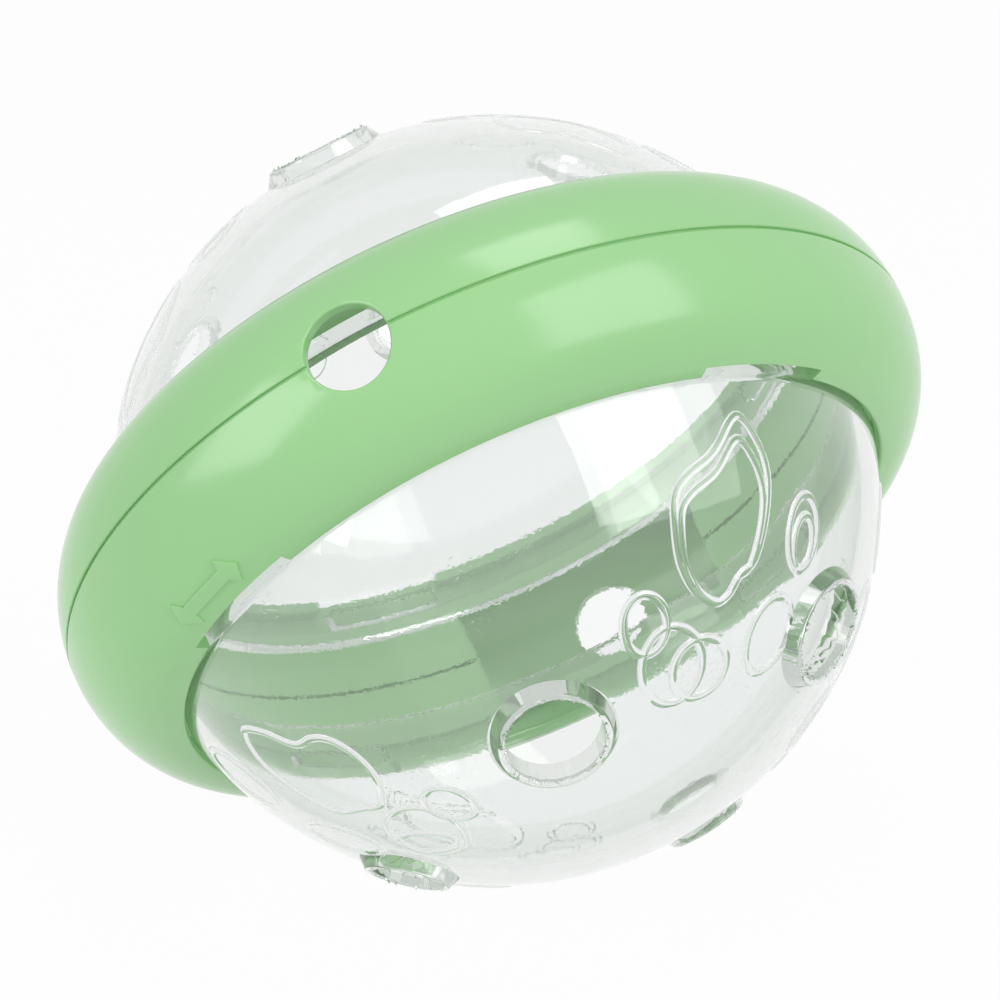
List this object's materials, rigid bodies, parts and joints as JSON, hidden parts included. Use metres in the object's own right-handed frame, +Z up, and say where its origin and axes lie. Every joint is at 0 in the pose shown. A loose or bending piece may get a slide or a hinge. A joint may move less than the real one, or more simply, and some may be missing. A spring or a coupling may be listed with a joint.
{
  "type": "treat dispensing ball",
  "caption": "Clear hollow ball of domes that turn and lock in a green ring; treats fall out of ports in the domes and holes in the ring as it rolls.",
  "frame": {"origin": "on the floor straight under the centre of the ball", "axes": "+Z up; +X along the level diameter of the ring; the lower dome leans towards -Y"},
  "size_m": [0.104, 0.0881, 0.088],
  "materials": {
    "clear_plastic": "clear, glossy, faint handling scratches",
    "green_plastic": "glossy moulded, light green"
  },
  "bodies": {
    "ring": {"lower_ring_half": "green_plastic", "upper_ring_half": "green_plastic"},
    "lower_dome": {"lower_dome": "clear_plastic"},
    "upper_dome": {"upper_dome": "clear_plastic"}
  },
  "joints": [
    {"name": "lower_dome_turn", "type": "hinge", "parent": "ring", "child": "lower_dome", "pos_m": [0, 0, 0.044], "axis": [0, -0.7775, -0.6288], "range_deg": [-45, 45]},
    {"name": "upper_dome_turn", "type": "hinge", "parent": "ring", "child": "upper_dome", "pos_m": [0, 0, 0.044], "axis": [0, 0.7775, 0.6288], "range_deg": [-45, 45]}
  ]
}
